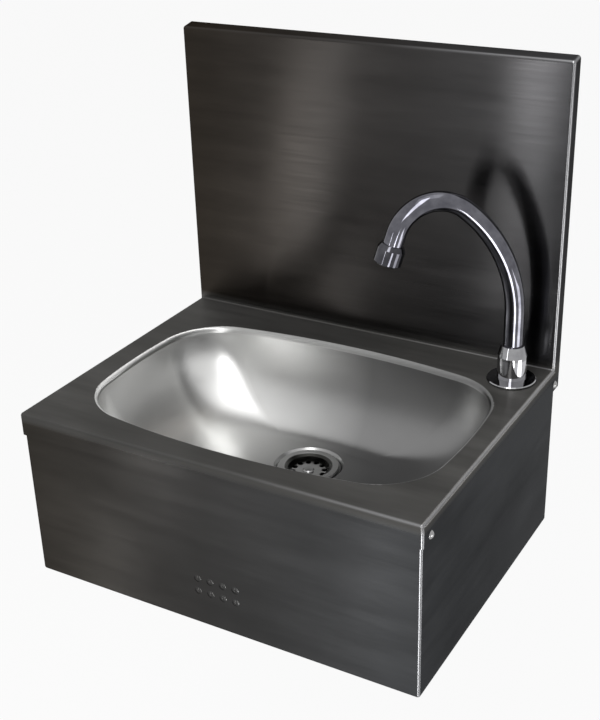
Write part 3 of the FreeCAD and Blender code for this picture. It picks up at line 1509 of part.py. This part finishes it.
def waste():
    """Waste in the bowl's seat: dished flange with its grid, seals, back nut and tail."""
    place = (waste_x, waste_y, 0)
    seal_top = seat_level + d.seal_thickness
    top = seal_top + d.waste_flange_thickness
    recess = top - d.waste_ledge_depth
    shelf = recess - d.grid_thickness
    grid_radius = d.waste_bore_radius + d.waste_ledge_width
    clear = d.waste_thread_radius + d.bolt_play
    under = seat_level - d.sheet
    washer_top = under - d.under_seal_thickness
    nut_top = washer_top - d.waste_washer_thickness
    nut_foot = nut_top - d.waste_nut_height
    relief_top = nut_foot - d.waste_relief_drop
    relief_foot = relief_top - d.waste_relief_width
    relief_radius = d.waste_thread_radius - d.waste_relief_depth
    ring("waste_flange_seal", clear, d.waste_flange_radius - d.bolt_point, seat_level, seal_top, *place)
    body = turned("waste_body", [
        (d.waste_bore_radius, -d.waste_tail_level),
        (d.waste_thread_radius - d.bolt_point, -d.waste_tail_level),
        (d.waste_thread_radius, d.bolt_point - d.waste_tail_level),
        (d.waste_thread_radius, relief_foot),
        (relief_radius, relief_foot),
        (relief_radius, relief_top),
        (d.waste_thread_radius, relief_top),
        (d.waste_thread_radius, seal_top),
        (d.waste_flange_radius, seal_top),
        (d.waste_flange_radius - d.waste_flange_thickness / 2, top),
        (d.waste_mouth_radius, top),
        (d.waste_thread_radius - d.waste_throat_wall, seal_top),
        (grid_radius + d.screw_play, recess),
        (grid_radius + d.screw_play, shelf),
        (d.waste_bore_radius, shelf),
    ], *place)
    bridge_top = shelf - d.bridge_drop
    bridge = new_sketch(body, "XY_Plane", bridge_top - d.bridge_height)
    reach = d.waste_bore_radius + d.screw_play
    draw_rectangle(bridge, -reach, reach, -d.bridge_width / 2, d.bridge_width / 2)
    draw_circle(bridge, 0, 0, d.waste_screw_radius + d.thread_play)
    pad(body, bridge, d.bridge_height)

    strainer = turned("waste_grid", [
        (0, shelf),
        (grid_radius, shelf),
        (grid_radius, recess),
        (0, recess),
    ], *place)
    middle = new_sketch(strainer, "XY_Plane", shelf)
    pocket(strainer, draw_circle(middle, 0, 0, d.waste_screw_radius + d.screw_play), d.grid_thickness * 3)
    hole = new_sketch(strainer, "XY_Plane", shelf)
    cut = pocket(strainer, draw_circle(hole, d.grid_ring_radius, 0, d.grid_hole_radius), d.grid_thickness * 3)
    around = strainer.newObject("PartDesign::PolarPattern", "Around")
    around.Originals = [cut]
    around.Axis = (own_plane(strainer, "Z_Axis"), [""])
    around.Angle = 360
    around.Occurrences = int(float(d.grid_hole_count))
    finish(strainer, around)
    turned("waste_screw", [
        (0, bridge_top - d.bridge_height - d.bolt_point),
        (d.waste_screw_radius, bridge_top - d.bridge_height - d.bolt_point),
        (d.waste_screw_radius, recess),
        (d.waste_screw_head_radius, recess),
        (d.waste_screw_head_radius, recess + d.bolt_point),
        (d.waste_screw_head_radius - d.bolt_point, recess + d.bolt_point * 2),
        (0, recess + d.bolt_point * 2.4),
    ], *place)
    ring("waste_under_seal", clear, d.waste_flange_radius - d.bolt_point, washer_top, under, *place)
    ring("waste_washer", clear, d.waste_flange_radius - d.bolt_point, nut_top, washer_top, *place)
    nut_bore = d.waste_thread_radius + d.thread_play
    nut("waste_back_nut", d.waste_nut_flats, nut_bore, nut_foot, nut_top, *place)


def export():
    """Write each piece to its own file, once everything is known to be sound."""
    for item in doc.Objects:
        if "Invalid" in item.State or "Error" in item.State:
            raise RuntimeError(f"{item.Label} failed: {item.State}")
    pieces = [item for item in doc.Objects if item.TypeId in ("PartDesign::Body", "Part::Feature")]
    for piece in pieces:
        if piece.Shape.isNull() or not piece.Shape.isValid():
            raise RuntimeError(f"{piece.Label} has no sound shape")
    os.makedirs("parts", exist_ok=True)
    for piece in pieces:
        piece.Shape.exportStep(os.path.join("parts", f"{piece.Label}.step"))
        print(f"{piece.Label}: {len(piece.Shape.Solids)} solid(s), {piece.Shape.Volume:.0f} cubic mm")


if __name__ == "__main__":
    deck_and_splashback()
    bowl()
    back_plate()
    valve_bracket()
    bracket_fasteners()
    knee_cover()
    push_channel()
    guide_set()
    valve()
    mixing_block()
    outlet_pipe()
    tap()
    aerator(*spout())
    waste()
    export()
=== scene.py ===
"""Looks of the wall-hung hand wash sink: satin sheet steel, a pressed bowl and a chrome tap."""
import json
import math
import bpy
from mathutils import Matrix, Vector

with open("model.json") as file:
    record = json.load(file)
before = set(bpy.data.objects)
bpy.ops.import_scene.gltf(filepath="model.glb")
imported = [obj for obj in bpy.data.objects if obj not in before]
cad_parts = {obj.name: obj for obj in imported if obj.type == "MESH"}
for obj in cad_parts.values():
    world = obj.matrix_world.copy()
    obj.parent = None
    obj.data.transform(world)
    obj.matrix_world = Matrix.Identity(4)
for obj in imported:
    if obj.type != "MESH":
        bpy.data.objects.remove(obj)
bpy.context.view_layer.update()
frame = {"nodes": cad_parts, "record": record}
nodes = frame["nodes"]

# ---------------------------------------------------------------- material helpers
# the Mix node's sockets: first, second and result
MIX_COLOUR, MIX_NUMBER = (6, 7, 2), (2, 3, 0)


def grey(level):
    return (level, level, level)


class Paint:
    """A node material around one Principled shader; its methods add nodes and give their outputs."""

    def __init__(self, name, **sockets):
        self.material = bpy.data.materials.new(name)
        self.material.use_nodes = True
        self.tree = self.material.node_tree
        self.shader = self.tree.nodes["Principled BSDF"]
        self.place = self.node("ShaderNodeTexCoord").outputs["Object"]
        self.set(**sockets)

    def node(self, kind, **settings):
        item = self.tree.nodes.new(kind)
        for name, value in settings.items():
            setattr(item, name, value)
        return item

    def put(self, value, socket):
        """Give a socket another node's output, a number, a vector or a colour."""
        if isinstance(value, bpy.types.NodeSocket):
            self.tree.links.new(value, socket)
        elif socket.type == "RGBA":
            socket.default_value = (*value, 1.0)
        else:
            socket.default_value = value

    def set(self, **sockets):
        """Fill the shader's sockets, whose names are written here with _ for a space."""
        for name, value in sockets.items():
            self.put(value, self.shader.inputs[name.replace("_", " ")])

    def noise(self, scale, detail=3.0, rough=0.5):
        """Noise on the object's own coordinates, with one scale or one for each axis, per metre."""
        mapping = self.node("ShaderNodeMapping")
        self.put(self.place, mapping.inputs["Vector"])
        self.put(scale if isinstance(scale, tuple) else grey(scale), mapping.inputs["Scale"])
        item = self.node("ShaderNodeTexNoise")
        self.put(mapping.outputs["Vector"], item.inputs["Vector"])
        self.put(1.0, item.inputs["Scale"])
        self.put(detail, item.inputs["Detail"])
        self.put(rough, item.inputs["Roughness"])
        return item.outputs["Fac"]

    def span(self, source, low, high, start=0.0, end=1.0):
        """Map start..end of a value to low..high."""
        item = self.node("ShaderNodeMapRange")
        self.put(source, item.inputs["Value"])
        self.put(start, item.inputs["From Min"])
        self.put(end, item.inputs["From Max"])
        self.put(low, item.inputs["To Min"])
        self.put(high, item.inputs["To Max"])
        return item.outputs["Result"]

    def spread(self, noise, low, high):
        """Map the range in which most of a noise lies to low..high."""
        return self.span(noise, low, high, 0.3, 0.7)

    def ramp(self, source, *stops):
        item = self.node("ShaderNodeValToRGB")
        elements = item.color_ramp.elements
        for element, (place, colour) in zip(elements, stops):
            element.position = place
            element.color = (*colour, 1.0)
        self.put(source, item.inputs["Fac"])
        return item.outputs["Color"]

    def calc(self, operation, first, second):
        item = self.node("ShaderNodeMath", operation=operation)
        self.put(first, item.inputs[0])
        self.put(second, item.inputs[1])
        return item.outputs["Value"]

    def vector(self, operation, first, second=None):
        item = self.node("ShaderNodeVectorMath", operation=operation)
        self.put(first, item.inputs[0])
        if second:
            self.put(second, item.inputs[1])
        return item.outputs["Value" if operation == "LENGTH" else "Vector"]

    def mixed(self, factor, first, second, blend_type="MIX"):
        """Blend two colours, each an output or a plain colour."""
        item = self.node("ShaderNodeMix", data_type="RGBA", blend_type=blend_type)
        start, end, result = MIX_COLOUR
        self.put(factor, item.inputs[0])
        self.put(first, item.inputs[start])
        self.put(second, item.inputs[end])
        return item.outputs[result]

    def multiplied(self, first, second):
        return self.mixed(1.0, first, second, "MULTIPLY")

    def mixed_numbers(self, factor, first, second):
        item = self.node("ShaderNodeMix", data_type="FLOAT")
        start, end, result = MIX_NUMBER
        self.put(factor, item.inputs[0])
        self.put(first, item.inputs[start])
        self.put(second, item.inputs[end])
        return item.outputs[result]

    def bump(self, height, depth, strength):
        item = self.node("ShaderNodeBump")
        self.put(depth, item.inputs["Distance"])
        self.put(strength, item.inputs["Strength"])
        self.put(height, item.inputs["Height"])
        self.set(Normal=item.outputs["Normal"])

    def axes(self, vector):
        split = self.node("ShaderNodeSeparateXYZ")
        self.put(vector, split.inputs["Vector"])
        return split.outputs

    def along(self, axis, low, high):
        """0 at low and 1 at high of one of the object's own coordinates, in metres."""
        return self.span(self.axes(self.place)[axis], 0.0, 1.0, low, high)

    def largest_axis(self, vector):
        x, y, z = self.axes(vector)
        return self.calc("MAXIMUM", self.calc("MAXIMUM", x, y), z)

    def within(self, middle, half):
        """1 inside a box and 0 outside it; its middle and half sizes are in metres."""
        offset = self.vector("ABSOLUTE", self.vector("SUBTRACT", self.place, middle))
        return self.span(self.largest_axis(self.vector("DIVIDE", offset, half)), 1.0, 0.0, 0.98, 1.0)

    def bend_mask(self, normal):
        """1 on rounded bends and 0 on the flats, from the surface's own direction."""
        return self.span(self.largest_axis(self.vector("ABSOLUTE", normal)), 1.0, 0.0, 0.8, 0.995)


# ---------------------------------------------------------------- finishes
# the folded sheet: its ends in X, and the heights between which the lip, deck and splashback change over
SHEET_ENDS = (-0.2, 0.2)
LIP_TO_DECK, DECK_TO_SPLASH, DULL_TO_BRIGHT = (0.05, 0.056), (0.061, 0.07), (0.058, 0.064)
# painted reflection: the sheet's dark base tones stand in for the dark surroundings it mirrors; warm at the
# left, cool at the right, lighter on the deck and darker on the splashback
SHEET_REFLECTION_LEFT, SHEET_REFLECTION_RIGHT = (0.043, 0.039, 0.034), (0.06, 0.062, 0.065)
DECK = (0.1, 0.098, 0.094)
SPLASH_REFLECTION_LEFT, SPLASH_REFLECTION_RIGHT = (0.031, 0.026, 0.021), (0.05, 0.05, 0.052)
# painted highlight: the bright tone of the rounded bends
SHEET_BEND_HIGHLIGHT = (0.36, 0.36, 0.37)
DECK_DULLNESS = 0.3
# the roll round the bowl's mouth: its painted light, lit at the left and shaded at the right, and a box
# that takes in its height
RIM_LIT_LEFT, RIM_SHADED_RIGHT = (0.62, 0.62, 0.61), (0.3, 0.3, 0.3)
RIM_MIDDLE, RIM_HALF = (0.003, -0.168, 0.0549), (0.182, 0.122, 0.0049)
# the bowl's painted light goes from lit to shaded between two places in X
BOWL_ENDS = (-0.13, 0.03)
# the waste's axis, and its painted shade and its satin tones
WASTE_MIDDLE = (0.003, -0.14, 0.0)
WASTE_SHADE = (0.03, 0.03, 0.028)
WASTE_SATIN = ((0.3, (0.3, 0.3, 0.295)), (0.7, (0.36, 0.36, 0.36)))


def brushed_sheet(name, rough):
    """Polished sheet brushed along X: streaky, with painted reflection that is warm at the left, cool at
    the right, lighter on the deck and darker on the splashback, and a painted highlight at the bends.
    """
    paint = Paint(name, Metallic=1.0, Anisotropic=1.0, Specular_Tint=grey(0.4))
    normal = paint.node("ShaderNodeNewGeometry").outputs["Normal"]
    # the gloss spreads across the brushing; the small addition keeps a direction where the sheet faces X
    across = paint.vector("CROSS_PRODUCT", normal, (1.0, 0.0, 0.0))
    paint.set(Tangent=paint.vector("ADD", across, (0.0, 0.0, 0.01)))

    to_right = paint.along("X", *SHEET_ENDS)
    on_deck = paint.along("Z", *LIP_TO_DECK)
    # painted reflection: warm at the left, cool at the right, lighter on the deck, darker on the splashback
    lower = paint.mixed(to_right, SHEET_REFLECTION_LEFT, SHEET_REFLECTION_RIGHT)
    upper = paint.mixed(to_right, SPLASH_REFLECTION_LEFT, SPLASH_REFLECTION_RIGHT)
    deck = paint.mixed(on_deck, lower, DECK)
    flat = paint.mixed(paint.along("Z", *DECK_TO_SPLASH), deck, upper)
    # the sides are brushed from front to back
    sideways = paint.calc("POWER", paint.axes(normal)["X"], 2.0)
    lengthways = paint.noise((5, 42, 42), 5.0, 0.62)
    streaks = paint.mixed_numbers(sideways, lengthways, paint.noise((42, 5, 42), 5.0, 0.62))
    clouds = paint.calc("MULTIPLY", streaks, paint.noise(7))
    shade = paint.ramp(clouds, (0.12, grey(0.76)), (0.42, grey(1.26)))
    # painted highlight: the bends are made bright, more so to the right
    highlight_to_right = paint.span(to_right, 0.03, 0.6, 0.55, 1.0)
    bend_highlight = paint.calc("MULTIPLY", paint.bend_mask(normal), highlight_to_right)
    colour = paint.mixed(bend_highlight, paint.multiplied(flat, shade), SHEET_BEND_HIGHLIGHT)
    # the roll round the bowl's mouth is satin like the bowl, with painted light: lit at the left, shaded at
    # the right
    rim = paint.mixed(to_right, RIM_LIT_LEFT, RIM_SHADED_RIGHT)
    colour = paint.mixed(paint.within(RIM_MIDDLE, RIM_HALF), colour, rim)

    fine = paint.noise((16, 1300, 1300), 3.0, 0.6)
    grain = paint.calc("ADD", paint.spread(fine, -0.03, 0.03), paint.spread(streaks, -0.03, 0.04))
    # the deck is duller with use than the upright sheets
    bright, dull = reversed(DULL_TO_BRIGHT)
    level = paint.calc("MULTIPLY", on_deck, paint.along("Z", bright, dull))
    dullness = paint.span(level, rough, rough + DECK_DULLNESS)
    paint.set(Base_Color=colour, Roughness=paint.calc("ADD", grain, dullness))
    paint.bump(fine, 0.000012, 0.3)
    return paint.material


def pressed_steel(name, left, right, rough):
    """The bowl: even satin with painted light, lit at the left and shaded darker to the right, with faint
    cloudiness.
    """
    paint = Paint(name, Metallic=1.0)
    cloud = paint.noise(9)
    tone = paint.mixed(paint.along("X", *BOWL_ENDS), left, right)
    shade = paint.ramp(cloud, (0.3, grey(0.93)), (0.7, grey(1.06)))
    paint.set(
        Base_Color=paint.multiplied(tone, shade),
        Roughness=paint.calc("ADD", paint.spread(cloud, -0.03, 0.03), rough),
    )
    return paint.material


def satin_steel(name, dark, light, rough, grain):
    """Pressed or rolled steel with a fine grain and faint cloudiness."""
    paint = Paint(name, Metallic=1.0)
    fine = paint.noise(grain, 3.0, 0.55)
    cloud = paint.noise(8, 3.0, 0.55)
    uneven = paint.calc("ADD", paint.spread(fine, -0.03, 0.03), paint.spread(cloud, -0.03, 0.03))
    paint.set(
        Base_Color=paint.ramp(cloud, (0.3, dark), (0.7, light)),
        Roughness=paint.calc("ADD", uneven, rough),
    )
    paint.bump(fine, 0.00001, 0.25)
    return paint.material


def waste_steel(name, reach_dark, reach_satin):
    """Satin at one distance from the waste's axis and darkened with painted shade at the other, in metres.
    """
    paint = Paint(name, Metallic=1.0)
    offset = paint.vector("SUBTRACT", paint.place, WASTE_MIDDLE)
    reach = paint.vector("LENGTH", paint.vector("MULTIPLY", offset, (1.0, 1.0, 0.0)))
    cloud = paint.noise(40, 3.0, 0.55)
    satin = paint.ramp(cloud, *WASTE_SATIN)
    paint.set(
        Base_Color=paint.mixed(paint.span(reach, 0.0, 1.0, reach_dark, reach_satin), WASTE_SHADE, satin),
        Roughness=paint.spread(cloud, 0.26, 0.36),
    )
    return paint.material


def chrome(name, dark, light):
    """Bright plate with a faint film of water marks."""
    paint = Paint(name, Metallic=1.0)
    film = paint.noise(60, 4.0, 0.6)
    paint.set(
        Base_Color=paint.ramp(film, (0.35, dark), (0.7, light)),
        Roughness=paint.span(film, 0.03, 0.1, 0.35, 0.8),
    )
    return paint.material


def turned_metal(name, dark, light, rough):
    """Turned brass or plain steel: fine lathe lines and a little tarnish."""
    paint = Paint(name, Metallic=1.0)
    tarnish = paint.noise(45, 4.0, 0.6)
    paint.set(
        Base_Color=paint.ramp(tarnish, (0.3, dark), (0.65, light)),
        Roughness=paint.spread(tarnish, rough + 0.12, rough - 0.05),
    )
    paint.bump(paint.noise(900, 2.0), 0.00001, 0.3)
    return paint.material


def moulded(name, dark, light, rough):
    """Rubber, fibre or plastic: a fine moulded grain and uneven sheen."""
    paint = Paint(name)
    mottle = paint.noise(70)
    paint.set(
        Base_Color=paint.ramp(mottle, (0.3, dark), (0.7, light)),
        Roughness=paint.spread(mottle, rough - 0.06, rough + 0.08),
    )
    paint.bump(paint.noise(420, 2.0), 0.00003, 0.4)
    return paint.material


# one for each of the record's material slots
MATERIALS = {
    "sheet_steel": brushed_sheet("sheet_steel", 0.21),
    # painted light: the bowl is lit at the left and shaded at the right
    "bowl_steel": pressed_steel("bowl_steel", (0.68, 0.68, 0.67), grey(0.2), 0.32),
    "plate_steel": satin_steel("plate_steel", grey(0.13), grey(0.18), 0.36, (700, 700, 20)),
    "fastener_steel": turned_metal("fastener_steel", grey(0.24), grey(0.34), 0.22),
    "spring_steel": turned_metal("spring_steel", (0.25, 0.25, 0.26), grey(0.4), 0.35),
    # painted reflection: the tap's dark plate stands in for the dark surroundings it mirrors
    "tap_chrome": chrome("tap_chrome", (0.085, 0.085, 0.1), (0.16, 0.16, 0.18)),
    "valve_chrome": chrome("valve_chrome", (0.26, 0.26, 0.27), (0.36, 0.36, 0.37)),
    "valve_brass": turned_metal("valve_brass", (0.42, 0.28, 0.1), (0.6, 0.43, 0.19), 0.3),
    "pipe_steel": satin_steel("pipe_steel", grey(0.24), grey(0.32), 0.2, (300, 300, 300)),
    "seal_rubber": moulded("seal_rubber", grey(0.018), grey(0.035), 0.6),
    "slide_plastic": moulded("slide_plastic", (0.66, 0.66, 0.63), (0.74, 0.74, 0.71), 0.42),
    "aerator_plastic": moulded("aerator_plastic", (0.035, 0.035, 0.036), (0.06, 0.06, 0.062), 0.45),
}
# painted shade: the waste's mouth is dark within its flange and its disc dark at the edge; painted
# reflection: the tap's foot, flange and nut get lighter plate than the tube, and its tip darker plate
OWN = {
    # painted shade in the waste's mouth and at its disc's edge
    "waste_body": waste_steel("waste_mouth", 0.0228, 0.0238),
    "waste_grid": waste_steel("waste_disc", 0.0172, 0.0166),
    # painted reflection: the foot's lighter plate, and the flange's and nut's below
    "tap_body": chrome("foot_chrome_painted_reflection", (0.42, 0.42, 0.44), (0.55, 0.55, 0.57)),
    "tap_flange": MATERIALS["valve_chrome"],
    "swivel_nut": MATERIALS["valve_chrome"],
    # painted reflection: the tip's darker plate
    "aerator_housing": chrome("tip_chrome_painted_reflection", (0.045, 0.045, 0.052), (0.09, 0.09, 0.1)),
}
for part in frame["record"]["subparts"]:
    mesh = nodes[part["node"]].data
    mesh.materials.clear()
    mesh.materials.append(OWN.get(part["node"], MATERIALS[part["material_slot"]]))


def added(name, data):
    item = bpy.data.objects.new(name, data)
    bpy.context.scene.collection.objects.link(item)
    return item


# ---------------------------------------------------------------- camera
AZIMUTH, ELEVATION, ROLL = math.radians(30.4676), math.radians(26.0555), math.radians(-1.7706)
EYE = Vector((0.52373, -1.03508, 0.59033))
ahead = Vector((
    -math.sin(AZIMUTH) * math.cos(ELEVATION),
    math.cos(AZIMUTH) * math.cos(ELEVATION),
    -math.sin(ELEVATION),
))
level_right = ahead.cross(Vector((0, 0, 1))).normalized()
level_up = level_right.cross(ahead)
right = level_right * math.cos(ROLL) + level_up * math.sin(ROLL)
up = level_up * math.cos(ROLL) - level_right * math.sin(ROLL)
camera_data = bpy.data.cameras.new("camera")
camera_data.lens = 62.29
camera_data.sensor_width = 36.0
camera_data.clip_start, camera_data.clip_end = 0.05, 60.0
camera = added("camera", camera_data)
turn = Matrix((right, up, -ahead)).transposed().to_4x4()
camera.matrix_world = Matrix.Translation(EYE) @ turn
bpy.context.scene.camera = camera

# ---------------------------------------------------------------- floor
FLOOR_LEVEL, FLOOR_HALF = -0.9, 30.0
FLOOR_OWN_WHITE = 0.9


def seen_directly(tree):
    """1 for rays from the camera and in mirrors and glass, so that metal shows the same background."""
    path = tree.nodes.new("ShaderNodeLightPath")
    level = path.outputs["Is Camera Ray"]
    for kind in ("Is Glossy Ray", "Is Transmission Ray"):
        either = tree.nodes.new("ShaderNodeMath")
        either.operation = "MAXIMUM"
        tree.links.new(level, either.inputs[0])
        tree.links.new(path.outputs[kind], either.inputs[1])
        level = either.outputs[0]
    return level


floor_mesh = bpy.data.meshes.new("floor")
corners = [(x * FLOOR_HALF, y * FLOOR_HALF, FLOOR_LEVEL) for x, y in ((-1, -1), (1, -1), (1, 1), (-1, 1))]
floor_mesh.from_pydata(corners, [], [(0, 1, 2, 3)])
floor = added("floor", floor_mesh)
floor_paint = Paint("floor_paint", Roughness=0.9)
mottle = floor_paint.noise(0.6, 2.0, 0.4)
floor_paint.set(Base_Color=floor_paint.ramp(mottle, (0.2, grey(0.8)), (0.8, grey(0.82))))
# most of the pale floor's brightness is its own where it is seen, and the rest keeps the shadow
white = floor_paint.node("ShaderNodeEmission")
floor_paint.put(grey(1.0), white.inputs["Color"])
floor_paint.put(1.0, white.inputs["Strength"])
blend = floor_paint.node("ShaderNodeMixShader")
shaded, glowing = floor_paint.shader.outputs[0], white.outputs[0]
share = floor_paint.calc("MULTIPLY", seen_directly(floor_paint.tree), FLOOR_OWN_WHITE)
for value, socket in zip((share, shaded, glowing), blend.inputs):
    floor_paint.put(value, socket)
floor_paint.put(blend.outputs[0], floor_paint.tree.nodes["Material Output"].inputs["Surface"])
floor.data.materials.append(floor_paint.material)

# ---------------------------------------------------------------- light
# the places that the lamps face
MIDDLE = (0, -0.15, 0)
BOWL = (-0.1, -0.1, 0)
SPLASH = (0.17, 0, 0.16)
GLOW = (-0.06, 0, 0.15)
TAP = (0.17, -0.05, 0.15)


def bearing(azimuth, elevation, distance, target):
    """A place seen from the target at so many degrees right of straight ahead and above level."""
    around, rise = math.radians(azimuth), math.radians(elevation)
    return (
        target[0] + distance * math.sin(around) * math.cos(rise),
        target[1] - distance * math.cos(around) * math.cos(rise),
        target[2] + distance * math.sin(rise),
    )


def lamp(name, place, target, size, power):
    data = bpy.data.lights.new(name, "AREA")
    data.shape = "RECTANGLE"
    data.size, data.size_y = size
    data.energy = power
    item = added(name, data)
    item.location = place
    item.visible_camera = False
    item.rotation_euler = (Vector(target) - Vector(place)).to_track_quat("-Z", "Y").to_euler()


lamp("over_camera", bearing(22, 42, 1.9, BOWL), BOWL, (0.5, 2.3), 24)
lamp("window", bearing(-19, -5, 2.4, SPLASH), SPLASH, (0.11, 0.6), 2.2)
lamp("ceiling", (0.2, -0.6, 2.6), MIDDLE, (1.8, 1.8), 8)
lamp("low_front", bearing(28, -27, 1.6, TAP), TAP, (0.45, 0.7), 12)
lamp("low_right", bearing(85, -24, 1.8, TAP), TAP, (0.9, 0.6), 8)
lamp("hall", bearing(-30, -16, 2.4, GLOW), GLOW, (0.16, 0.4), 1.3)

world = bpy.data.worlds.new("world")
bpy.context.scene.world = world
world.use_nodes = True
tree = world.node_tree
lighting = tree.nodes["Background"]
shown = tree.nodes.new("ShaderNodeBackground")
for background, strength in ((lighting, 0.5), (shown, 1.0)):
    background.inputs["Color"].default_value = (1, 1, 1, 1)
    background.inputs["Strength"].default_value = strength
mix = tree.nodes.new("ShaderNodeMixShader")
tree.links.new(seen_directly(tree), mix.inputs[0])
tree.links.new(lighting.outputs[0], mix.inputs[1])
tree.links.new(shown.outputs[0], mix.inputs[2])
tree.links.new(mix.outputs[0], tree.nodes["World Output"].inputs["Surface"])
bpy.context.scene.view_settings.view_transform = "Standard"
